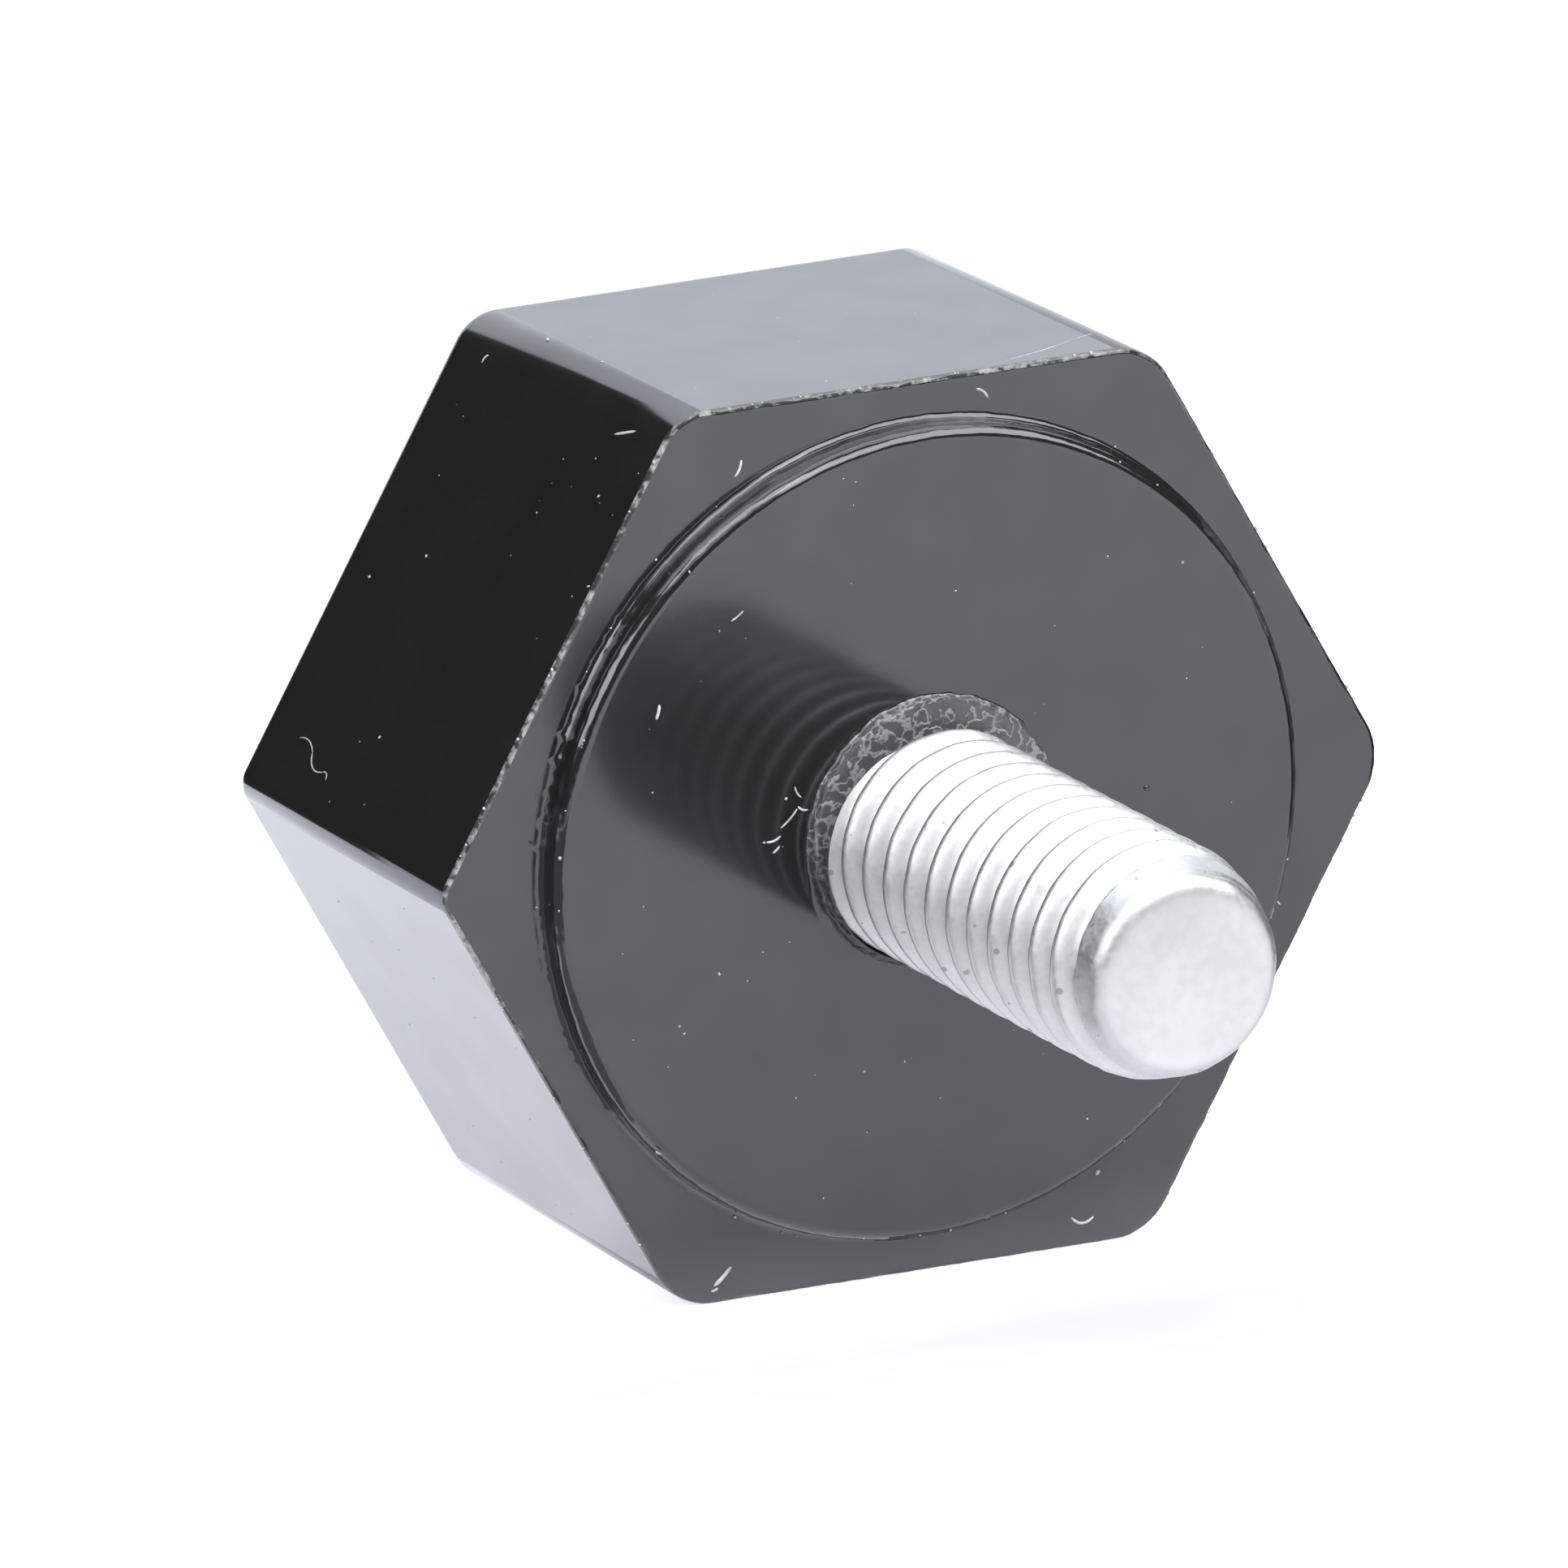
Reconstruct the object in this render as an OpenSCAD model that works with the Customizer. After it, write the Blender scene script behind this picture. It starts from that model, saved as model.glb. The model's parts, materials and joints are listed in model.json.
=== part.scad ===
// Hexagon-head thumbscrew: a glossy moulded plastic head on a threaded metal stud.
// The origin is the middle of the washer face, where the screw seats. The stud
// points along -Y, and two flats of the head are level, so it lies on one of them.

/* [Head] */
// Width across the flats, at the stud's side
head_af = 15; // [12:0.1:20]
// Length of the hexagon, without the washer face
head_h = 7.5; // [6:0.1:12]
// Lean of each flat that lets the head leave its mould, in degrees
draft = 1.1; // [0.5:0.1:3]
// Radius of the six upright corners
corner_r = 1.05; // [0.8:0.05:1.6]
// Rounding round the closed end
end_r = 0.35; // [0.1:0.05:0.35]

/* [Washer face] */
// Height of the round face above the hexagon
washer_h = 0.5; // [0.3:0.05:1]
// Land left between the round face and each flat
washer_inset = 0.7; // [0.4:0.05:1]
// Rounding at the round face's rim and at its foot
washer_r = 0.1; // [0.05:0.01:0.12]

/* [Collar] */
// Width of the raised collar round the stud
collar_w = 0.35; // [0.2:0.05:0.6]
// Height of the collar above the washer face
collar_h = 0.2; // [0.1:0.05:0.4]

/* [Stud] */
// Outer diameter over the thread's crests
stud_d = 3.95; // [3:0.1:5]
// Length from the washer face to the tip
stud_l = 8.8; // [5:0.1:30]
// Pitch of the thread
thread_pitch = 0.7; // [0.4:0.05:0.9]
// Length of the taper at the tip
tip_l = 1.05; // [0.8:0.05:1.5]
// How far the flat at the tip is set in from the crests
tip_step = 0.6; // [0.4:0.01:0.8]
// Rounding of the tip's edge
tip_round = 0.28; // [0.1:0.01:0.35]

/* [Insert] */
// Width across the flats of the stud's hidden head
insert_af = 7; // [5.5:0.1:8]
// Height of the stud's hidden head
insert_h = 2.8; // [2:0.1:3]
// Plastic left behind the hidden head
back_wall = 1.8; // [1:0.1:2.5]

/* [Hidden] */
$fn = 64;
// Fineness of the shapes that the head's hull is drawn round
hull_fn = 36;
// Thickness of the discs that the hull starts from
disc_h = 0.01;
// Depth that joined shapes reach into each other
lap = 0.4;
// Half the depth of an ISO thread, as a share of its pitch
half_depth = 0.3067;

stud_r = stud_d / 2;
// The thread's mean radius, which the plastic grips
grip_r = stud_r - half_depth * thread_pitch;
// Length of thread held under the washer face
grip_l = washer_h + head_h - back_wall - insert_h;
washer_face_r = head_af / 2 - washer_inset;
collar_r = stud_r + collar_w;
// Half the width across the flats where the rounding of the closed end begins
end_half_af = head_af / 2 - (head_h - end_r) * tan(draft);

// Centre of the rounding at the tip, and the angle where the taper runs into it
tip_c = [stud_r - tip_step, stud_l - tip_round];
taper = [tip_step, tip_l - tip_round];
touch_a = atan2(taper.x, taper.y) - asin(tip_round / norm(taper));

// Turns a shape built along +Z so that it points along -Y
module lay() {
    rotate([90, 0, 0]) children();
}

// The corner post on the X axis: a thin disc at the stud's side, a rounded one at the far end
module corner_post() {
    translate([(head_af / 2 - corner_r) / cos(30), 0, -disc_h])
        cylinder(h = disc_h, r = corner_r, $fn = hull_fn);
    translate([(end_half_af - corner_r) / cos(30), 0, end_r - head_h])
        rotate_extrude($fn = hull_fn)
            translate([corner_r - end_r, 0]) circle(r = end_r, $fn = hull_fn);
}

// The drafted hexagon, hanging from z = 0 down to its closed end
module drafted_hexagon() {
    hull()
        for (i = [0:5]) rotate(60 * i) corner_post();
}

// A raised round face with a rounded rim and a filleted foot, standing on z = 0
module raised_face(radius, height, round_r) {
    rotate_extrude() {
        translate([0, -lap]) square([radius, lap + height - round_r]);
        square([radius - round_r, height]);
        translate([radius - round_r, height - round_r]) circle(r = round_r);
        difference() {
            translate([radius - lap, -lap]) square([lap + round_r, lap + round_r]);
            translate([radius + round_r, round_r]) circle(r = round_r);
        }
    }
}

// The hidden end of the stud, which is also the hollow that it fills in the plastic
module insert() {
    translate([0, 0, -grip_l]) cylinder(h = grip_l + collar_h, r = grip_r);
    translate([0, 0, -grip_l - insert_h])
        cylinder(h = insert_h, d = insert_af / cos(30), $fn = 6);
}

module hex_head() {
    color([0.03, 0.03, 0.035])
    lay()
    difference() {
        union() {
            translate([0, 0, -washer_h]) {
                drafted_hexagon();
                raised_face(washer_face_r, washer_h, washer_r);
            }
            translate([0, 0, -lap]) cylinder(h = lap + collar_h, r = collar_r);
        }
        insert();
    }
}

// The tip: a taper that runs into a rounded edge round a small flat
module tip() {
    rotate_extrude() {
        polygon([
            [0, stud_l - tip_l],
            [stud_r, stud_l - tip_l],
            tip_c + tip_round * [cos(touch_a), sin(touch_a)],
            tip_c,
            [tip_c.x, stud_l],
            [0, stud_l]
        ]);
        translate(tip_c) circle(r = tip_round);
    }
}

module threaded_stud() {
    color([0.78, 0.79, 0.8])
    lay() {
        insert();
        translate([0, 0, collar_h]) cylinder(h = stud_l - tip_l - collar_h, r = stud_r);
        tip();
    }
}

hex_head();
threaded_stud();
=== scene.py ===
"""Thumbscrew: a glossy black moulded hexagon head on a bright threaded stud.

The stud points along -Y and the head lies on one of its flats. Everything is in
metres, in the CAD frame, with the middle of the washer face at the origin. Angles
round the stud run from +X towards +Z.
"""

import json
import math
import random

import bmesh
import bpy
from mathutils import Matrix, Vector, noise

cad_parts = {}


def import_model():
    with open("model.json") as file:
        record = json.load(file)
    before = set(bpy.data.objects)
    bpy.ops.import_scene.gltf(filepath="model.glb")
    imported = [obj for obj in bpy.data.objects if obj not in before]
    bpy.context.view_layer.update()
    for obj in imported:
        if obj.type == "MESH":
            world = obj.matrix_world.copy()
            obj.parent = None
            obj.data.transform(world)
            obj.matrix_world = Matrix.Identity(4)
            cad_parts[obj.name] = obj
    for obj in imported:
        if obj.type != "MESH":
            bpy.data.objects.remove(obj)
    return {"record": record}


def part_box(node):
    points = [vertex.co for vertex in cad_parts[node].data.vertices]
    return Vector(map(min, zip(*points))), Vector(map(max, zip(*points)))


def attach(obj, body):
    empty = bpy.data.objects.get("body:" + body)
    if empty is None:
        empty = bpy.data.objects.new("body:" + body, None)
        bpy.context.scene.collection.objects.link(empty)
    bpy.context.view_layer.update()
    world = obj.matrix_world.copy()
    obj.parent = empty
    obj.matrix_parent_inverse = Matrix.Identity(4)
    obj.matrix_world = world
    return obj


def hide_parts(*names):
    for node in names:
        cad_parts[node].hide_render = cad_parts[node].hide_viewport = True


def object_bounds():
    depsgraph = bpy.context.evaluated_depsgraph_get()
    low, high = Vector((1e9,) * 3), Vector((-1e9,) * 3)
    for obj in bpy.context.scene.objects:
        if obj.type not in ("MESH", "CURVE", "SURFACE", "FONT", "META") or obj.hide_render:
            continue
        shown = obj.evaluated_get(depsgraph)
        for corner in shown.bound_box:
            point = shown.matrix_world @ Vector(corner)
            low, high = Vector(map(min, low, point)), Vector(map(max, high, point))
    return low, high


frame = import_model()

MM = 0.001
cad_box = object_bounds()
head_lo, head_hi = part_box("hex_head")
stud_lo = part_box("threaded_stud")[0]
mount = {m["name"]: m for m in frame["record"]["mounts"]}

# Head: its places in the CAD frame, then the sizes of the moulding
WASHER_Y = mount["seat"]["pos_m"][1]
HALF_AF = head_hi.z
END_Y = head_hi.y
COLLAR_TOP_Y = head_lo.y
WASHER_H = 0.5 * MM
HEX_Y = WASHER_Y + WASHER_H
DRAFT = math.radians(1.1)
CORNER_R = 1.05 * MM
# Corners that the mould left sharper, by their angle round the stud
SHARPER_CORNERS = {180: 0.45 * MM, 120: 0.8 * MM}
END_R = 0.35 * MM
EDGE_ROUND = 0.07 * MM
WASHER_R = HALF_AF - 0.7 * MM
RIM_ROUND = 0.2 * MM
FOOT_FILLET = 0.13 * MM
LAND_R = WASHER_R + FOOT_FILLET + 0.03 * MM
COLLAR_R = 2.24 * MM
COLLAR_ROUND = 0.05 * MM
COLLAR_SHIFT = Vector((0.03, 0, 0.08)) * MM

# Stud
STUD_R = mount["stud"]["dims"]["r_mm"] * MM
TIP_Y = stud_lo.y
PITCH = 0.7 * MM
ROOT_R = 1.68 * MM
# Share of the pitch that is flat on the crest of the thread
CREST_SHARE = 0.04
TIP_FLAT_R = STUD_R - 0.6 * MM
TIP_ROUND = 0.36 * MM
TIP_TAPER = 1.05 * MM
# Angle round the stud at which a groove of the thread crosses GROOVE_Y
GROOVE_ANGLE = math.radians(136.5)
GROOVE_Y = -4.52 * MM
OFF_CENTRE = Vector((-0.035, 0, -0.055)) * MM
BORE_R = STUD_R + 0.03 * MM
BORE_Y = WASHER_Y + 0.9 * MM

# Seeds the dust, and shifts one pattern of noise from another
SEED = 7
# Vertices closer than MERGE are made one, and places closer than SLACK count as the same
MERGE, SLACK = 1e-8, 1e-6
# Faces over this area are the large plain ones
LARGE_FACE = 20 * MM * MM
# The way the seat side faces
SEAT_WAY = Vector((0, -1, 0))

# Fibres on the seat side: start X, Z, end X, Z, bow as a share of length, radius, in mm
SEAT_FIBRES = (
    (-3.67, -7.2, -3.36, -6.92, 0.03, 0.04),
    (-3.72, -7.28, -3.6, -7.24, 0.1, 0.025),
    (2.88, -7.0, 3.29, -7.04, 0.25, 0.028),
    (1.12, 7.2, 1.33, 7.02, -0.12, 0.026),
    (-3.29, 6.33, -3.17, 6.6, 0.1, 0.026),
    (-4.99, 2.64, -4.93, 2.88, 0.05, 0.03),
    (-3.62, 4.1, -3.4, 4.24, 0.04, 0.016),
    (-2.98, 0.3, -2.72, 0.37, 0.12, 0.022),
    (-2.72, 0.5, -2.42, 0.78, 0.05, 0.018),
    (-2.4, 0.82, -2.22, 0.74, 0.15, 0.02),
    (-2.86, 0.1, -2.74, 0.2, 0.05, 0.022),
    (-2.46, 1.16, -2.34, 0.96, 0.1, 0.014),
    (6.61, -2.05, 6.72, -2.27, 0.1, 0.016),
    (-5.0, -4.6, -4.9, -4.66, 0.1, 0.016),
)
# Fibres on a flat, by its angle: along and depth at each end, bow, radius
FLAT_FIBRES = (
    (150, 3.1, 6.16, 3.2, 5.6, -0.15, 0.011),
    (150, 3.2, 5.6, 3.42, 5.05, 0.22, 0.013),
    (150, 3.42, 5.05, 3.5, 4.84, -0.3, 0.011),
    (150, -3.6, 1.5, -3.8, 0.96, 0.0, 0.022),
    (150, -3.62, 6.2, -3.78, 6.12, -0.2, 0.014),
    (90, -1.8, 0.3, -3.1, 0.75, 0.02, 0.008),
    (90, -3.1, 0.75, -3.9, 1.06, -0.03, 0.008),
)
# Crumbs on the seat side: X, Z, radius
SEAT_CRUMBS = (
    (3.36, -6.31, 0.035), (0.48, 4.03, 0.03), (3.26, 4.22, 0.026), (-3.84, -1.79, 0.024),
    (-4.48, -2.7, 0.024), (-1.19, -3.81, 0.03), (-0.45, -3.75, 0.022), (-1.14, -4.84, 0.024),
    (-5.22, -0.46, 0.026), (-6.74, 0.57, 0.04), (-5.95, 4.88, 0.035), (0.07, 6.85, 0.03),
    (-5.6, -1.2, 0.02), (2.9, -5.2, 0.018), (-2.62, 0.98, 0.024), (-3.02, 0.3, 0.036),
    (-4.38, 5.03, 0.03), (-6.64, 1.35, 0.03), (-4.72, 5.15, 0.022),
)
# Crumbs on a flat, by its angle: along, depth, radius
FLAT_CRUMBS = (
    (150, 2.48, 3.92, 0.024), (150, 0.28, 6.42, 0.024), (150, -0.45, 5.1, 0.02),
    (150, -1.9, 2.6, 0.018), (150, -2.6, 1.1, 0.02), (90, 3.94, 5.15, 0.028),
    (90, 3.83, 3.5, 0.024), (90, 0.5, 3.0, 0.016), (210, 1.0, 2.0, 0.018),
)
# Crumbs on the seat side are made at this share of the radius listed
SEAT_CRUMB_SHARE = 0.75
# A nub of the black plastic on the seat side: X, Z, radius
NUB_X, NUB_Z, NUB_R = 3.98, 0.23, 0.06
# Flats that gather dust, by their angle; the head rests on the sixth, at 270
DUSTY_FLATS = (90, 150, 210, 330, 30)

# Places of the materials on the head, after the plain plastic
TORN, SCUFFED, SHADED_FOOT = 1, 2, 3


# ---------------------------------------------------------------- modelling

def deselect_all():
    """Nothing stays selected, so that an operator acts on what is chosen next."""
    bpy.ops.object.select_all(action="DESELECT")


def activate(obj):
    deselect_all()
    obj.select_set(True)
    bpy.context.view_layer.objects.active = obj


def new_object(name, data):
    """An object of this data, in the scene's own collection."""
    obj = bpy.data.objects.new(name, data)
    bpy.context.collection.objects.link(obj)
    return obj


def select_only(obj, kind, wanted):
    """Selects the faces or edges of a mesh in edit mode that pass the test, and no others."""
    bm = bmesh.from_edit_mesh(obj.data)
    bpy.ops.mesh.select_mode(type=kind)
    for part in (bm.verts, bm.edges, bm.faces):
        for item in part:
            item.select = False
    for item in bm.faces if kind == "FACE" else bm.edges:
        if wanted(item):
            item.select_set(True)
    bmesh.update_edit_mesh(obj.data)


def select_faces(obj, wanted):
    select_only(obj, "FACE", wanted)


def select_edges(obj, wanted):
    select_only(obj, "EDGE", wanted)


def length_in_y(edge):
    return abs(edge.verts[0].co.y - edge.verts[1].co.y)


def lies_at(edge, y):
    return all(abs(v.co.y - y) < SLACK for v in edge.verts)


def polar(place):
    """Distance from the head's axis, and the angle round it."""
    return math.hypot(place.x, place.z), math.atan2(place.z, place.x)


def scale_from_axis(v, factor):
    v.co.x *= factor
    v.co.z *= factor


def near_angle(edge, degrees):
    """Whether the middle of an edge lies at about this angle round the stud."""
    slack = 2
    middle = (edge.verts[0].co + edge.verts[1].co) / 2
    apart = math.degrees(polar(middle)[1]) - degrees
    return abs((apart + 180) % 360 - 180) < slack


def hexagon_block():
    """The drafted hexagon with its rounded corners and rounded closed end."""
    depth = END_Y - HEX_Y
    half_side = math.radians(30)
    bpy.ops.mesh.primitive_cylinder_add(
        vertices=6,
        radius=HALF_AF / math.cos(half_side),
        depth=depth,
        location=(0, (END_Y + HEX_Y) / 2, 0),
        rotation=(math.radians(90), half_side, 0),
    )
    block = bpy.context.object
    bpy.ops.object.transform_apply(location=True, rotation=True, scale=True)
    bpy.ops.object.mode_set(mode="EDIT")
    narrowed = 1 - depth * math.tan(DRAFT) / HALF_AF
    select_faces(block, lambda f: f.normal.y > 0.9)
    bpy.ops.transform.resize(value=(narrowed, 1, narrowed), center_override=(0, END_Y, 0))
    for angle in range(0, 360, 60):
        radius = SHARPER_CORNERS.get(angle, CORNER_R)
        select_edges(block, lambda e: length_in_y(e) > END_R and near_angle(e, angle))
        bpy.ops.mesh.bevel(offset=radius * math.tan(half_side), segments=8, affect="EDGES")
    select_edges(block, lambda e: lies_at(e, END_Y))
    bpy.ops.mesh.bevel(offset=END_R, segments=6, affect="EDGES")
    return block


def moulded_edge(block):
    """Rounds the seat-side edge unevenly, as the mould left it, and takes the seat side out."""
    coarse_mm, fine_mm = 0.008, 0.011
    select_edges(block, lambda e: lies_at(e, HEX_Y) and e.calc_length() > CORNER_R)
    bpy.ops.mesh.subdivide(number_cuts=100)
    select_edges(block, lambda e: lies_at(e, HEX_Y))
    bpy.ops.mesh.bevel(offset=EDGE_ROUND, segments=2, affect="EDGES")
    # A narrow border holds the large faces flat beside the uneven edge
    select_faces(block, lambda f: f.calc_area() > LARGE_FACE)
    bpy.ops.mesh.inset(thickness=0.04 * MM, use_individual=True)
    bm = bmesh.from_edit_mesh(block.data)
    bm.normal_update()
    for v in bm.verts:
        depth = v.co.y - HEX_Y
        if 0.002 * MM < depth < 0.97 * EDGE_ROUND:
            coarse = noise.noise(v.co * 1500 + Vector((SEED, 0, 0)))
            fine = noise.noise(v.co * 6500 + Vector((0, SEED, 0)))
            v.co += v.normal * (coarse_mm * coarse + fine_mm * fine) * MM
    bmesh.update_edit_mesh(block.data)
    select_faces(block, lambda f: f.normal.y < -0.99 and f.calc_area() > LARGE_FACE)
    bpy.ops.mesh.delete(type="ONLY_FACE")


def arc(centre, radius, start, stop, steps):
    """Points of an arc in the radius-and-Y plane, by angles in degrees."""
    turn = (math.radians(start + (stop - start) * i / steps) for i in range(steps + 1))
    return [
        (centre[0] + radius * math.cos(a), centre[1] + radius * math.sin(a)) for a in turn
    ]


def face_profile():
    """Radius and Y of the turned seat side, from the land in to the bore's floor."""
    small, gap, top_steps = COLLAR_ROUND, 0.03 * MM, 8
    inner = BORE_R + gap
    foot = arc((WASHER_R + FOOT_FILLET, HEX_Y - FOOT_FILLET), FOOT_FILLET, 90, 180, 10)
    rim = arc((WASHER_R - RIM_ROUND, WASHER_Y + RIM_ROUND), RIM_ROUND, 0, -90, 10)
    near_rim, near_collar = WASHER_R - RIM_ROUND - gap, COLLAR_R + small + gap
    plain = [
        (r, WASHER_Y) for r in (near_rim, 6 * MM, 5 * MM, 4 * MM, 3 * MM, near_collar)
    ]
    collar_foot = arc((COLLAR_R + small, WASHER_Y - small), small, 90, 180, 4)
    collar_edge = arc((COLLAR_R - small, COLLAR_TOP_Y + small), small, 0, -90, 4)
    collar_top = [
        (COLLAR_R - small + (inner - COLLAR_R + small) * i / top_steps, COLLAR_TOP_Y)
        for i in range(1, top_steps + 1)
    ]
    bore = [(BORE_R, COLLAR_TOP_Y + gap), (BORE_R, BORE_Y), (0, BORE_Y)]
    collar = collar_foot + collar_edge + collar_top
    return [(LAND_R, HEX_Y)] + foot + rim + plain + collar + bore


def turned_face():
    """The washer face, the collar and the bore, turned round the head's axis."""
    points = face_profile()
    mesh = bpy.data.meshes.new("turned_face")
    mesh.from_pydata(
        [(r, y, 0) for r, y in points], [(i, i + 1) for i in range(len(points) - 1)], []
    )
    turned = new_object("turned_face", mesh)
    activate(turned)
    bpy.ops.object.mode_set(mode="EDIT")
    bpy.ops.mesh.select_all(action="SELECT")
    bpy.ops.mesh.spin(steps=480, angle=2 * math.pi, center=(0, 0, 0), axis=(0, 1, 0))
    bpy.ops.mesh.select_all(action="SELECT")
    bpy.ops.mesh.remove_doubles(threshold=MERGE)
    bpy.ops.object.mode_set(mode="OBJECT")
    return turned


def roughen_ring(head):
    """The uneven rim and foot of the washer face, with teeth of flash down its left side."""
    coarse_mm, fine_mm, tooth_mm = 0.010, 0.009, 0.16
    teeth_at, teeth_spread = 190, 62
    inner, fade = WASHER_R - RIM_ROUND, 0.06 * MM
    for v in head.data.vertices:
        radius, angle = polar(v.co)
        angle %= 2 * math.pi
        if not inner - SLACK < radius < LAND_R + SLACK or v.co.y > HEX_Y + SLACK:
            continue
        coarse = noise.noise(v.co * 2500)
        fine = noise.noise(v.co * 9000 + Vector((SEED, 0, SEED)))
        within = min(1.0, (radius - inner) / fade, (LAND_R - radius) / fade)
        push = (coarse_mm * coarse + fine_mm * fine) * MM * max(0.0, within)
        side = max(0.0, 1 - abs(math.degrees(angle) - teeth_at) / teeth_spread)
        wide_teeth = noise.noise(Vector((angle * 34, SEED, 0)))
        tooth = wide_teeth + noise.noise(Vector((angle * 90, 0, SEED)))
        outward = max(0.0, (radius - WASHER_R) / FOOT_FILLET)
        push += tooth_mm * MM * max(0.0, tooth - 0.1) * min(1.0, 2 * side) * min(1.0, outward)
        scale_from_axis(v, 1 + push / radius)


def roughen_collar(head):
    """The collar's torn top and edge, a little off centre and drawn in to the thread."""
    sunk_mm, top_coarse_mm, top_fine_mm = 0.018, 0.02, 0.018
    edge_coarse_mm, edge_fine_mm = 0.035, 0.02
    middle = (BORE_R + COLLAR_R) / 2
    half = (COLLAR_R - BORE_R) / 2
    for v in head.data.vertices:
        radius, angle = polar(v.co)
        across = 1 - abs(radius - middle) / half
        if radius > COLLAR_R + 0.06 * MM or v.co.y > BORE_Y + SLACK:
            continue
        coarse = noise.noise(v.co * 2600)
        fine = noise.noise(v.co * 7000 + Vector((SEED, SEED, 0)))
        if v.co.y < WASHER_Y - 0.1 * MM and across > -0.15:
            torn_mm = sunk_mm + top_coarse_mm * coarse + top_fine_mm * fine
            v.co.y += torn_mm * MM * max(0.1, min(1, across * 3))
            v.co.y = max(v.co.y, COLLAR_TOP_Y)
        drawn_in = min(1.0, max(0.0, (COLLAR_R - radius) / (COLLAR_R - BORE_R)))
        if radius > SLACK:
            inner = stud_radius(COLLAR_TOP_Y, angle) + 0.02 * MM - BORE_R
            torn_mm = edge_coarse_mm * coarse + edge_fine_mm * fine
            push = inner * drawn_in + torn_mm * MM * (1 - drawn_in)
            scale_from_axis(v, 1 + push / radius)
        v.co += OFF_CENTRE * drawn_in + COLLAR_SHIFT * (1 - drawn_in)


def build_head():
    """The hexagon and the turned seat side, joined across the land between them."""
    block = hexagon_block()
    moulded_edge(block)
    bpy.ops.object.mode_set(mode="OBJECT")
    turned = turned_face()
    activate(block)
    turned.select_set(True)
    bpy.ops.object.join()
    bpy.ops.object.mode_set(mode="EDIT")
    select_edges(block, lambda e: e.is_boundary)
    bpy.ops.mesh.fill()
    bpy.ops.mesh.select_all(action="SELECT")
    bpy.ops.mesh.remove_doubles(threshold=MERGE)
    bpy.ops.mesh.normals_make_consistent(inside=False)
    bpy.ops.object.mode_set(mode="OBJECT")
    roughen_ring(block)
    roughen_collar(block)
    bpy.ops.object.shade_smooth_by_angle(angle=math.radians(28))
    block.name = "moulded_head"
    return block


def envelope(y):
    """Largest radius the stud may have at Y: plain, then the taper and the rounded tip."""
    from_tip = y - TIP_Y
    drop, run = STUD_R - TIP_FLAT_R, TIP_TAPER - TIP_ROUND
    touch = math.atan2(drop, run) - math.asin(TIP_ROUND / math.hypot(drop, run))
    touch_y = TIP_ROUND * (1 - math.sin(touch))
    touch_r = TIP_FLAT_R + TIP_ROUND * math.cos(touch)
    if from_tip >= TIP_TAPER:
        return STUD_R
    if from_tip > touch_y:
        share = (from_tip - touch_y) / (TIP_TAPER - touch_y)
        return touch_r + (STUD_R - touch_r) * share
    down = TIP_ROUND - max(0.0, from_tip)
    return TIP_FLAT_R + math.sqrt(max(0.0, TIP_ROUND**2 - down**2))


def thread_wave(turns):
    """Height of the thread, 0 at the root and 1 at the crest, by turns from a groove."""
    from_groove = 1 - abs(turns - math.floor(turns) - 0.5) * 2
    rise = min(1.0, max(0.0, from_groove / (1 - CREST_SHARE)))
    return rise * rise * (3 - 2 * rise)


def stud_radius(y, angle):
    """Radius of the stud at Y, in the direction of an angle round its own axis."""
    turns = (GROOVE_Y - y) / PITCH - (angle - GROOVE_ANGLE) / (2 * math.pi)
    return min(ROOT_R + (STUD_R - ROOT_R) * thread_wave(turns), envelope(y))


def ringed_cylinder():
    """A plain cylinder from the bore to the tip, cut into fine rings for the thread."""
    start_y = BORE_Y - 0.02 * MM
    length = start_y - TIP_Y
    bpy.ops.mesh.primitive_cylinder_add(
        vertices=144,
        radius=STUD_R,
        depth=length,
        location=(0, start_y - length / 2, 0),
        rotation=(math.radians(90), 0, 0),
    )
    cylinder = bpy.context.object
    bpy.ops.object.transform_apply(location=True, rotation=True, scale=True)
    bpy.ops.object.mode_set(mode="EDIT")
    # Each pass cuts what is still longer than this into twenty
    for longest in (length / 2, length / 30):
        select_edges(cylinder, lambda e: length_in_y(e) > longest)
        bpy.ops.mesh.subdivide(number_cuts=19)
    # The end gets rings too, inside the rounded tip
    for inset in (0.72, 0.4, 0.4):
        select_faces(cylinder, lambda f: f.normal.y < -0.9 and f.calc_area() > MM * MM)
        bpy.ops.mesh.inset(thickness=inset * MM)
    bpy.ops.object.mode_set(mode="OBJECT")
    return cylinder


def build_stud():
    """The ringed cylinder, drawn in to the thread and the tip, with small dents all over."""
    broad_dent_mm, small_dent_mm, sunk_mm = 0.012, 0.005, 0.012
    stud = ringed_cylinder()
    stud.name = "threaded_stud_detail"
    for v in stud.data.vertices:
        radius, angle = polar(v.co)
        if radius < TIP_FLAT_R:
            continue
        dent = noise.noise(v.co * 2400) * broad_dent_mm
        dent += noise.noise(v.co * 6000) * small_dent_mm
        target = stud_radius(v.co.y, angle) + (dent - sunk_mm) * MM
        scale_from_axis(v, target / radius)
    for v in stud.data.vertices:
        v.co += OFF_CENTRE
    bpy.ops.object.shade_smooth_by_angle(angle=math.radians(50))
    return stud


def on_seat(x, z):
    """A point on the seat side, by X and Z in millimetres."""
    level = WASHER_Y if math.hypot(x, z) < WASHER_R / MM else HEX_Y
    return Vector((x * MM, level, z * MM))


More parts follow.
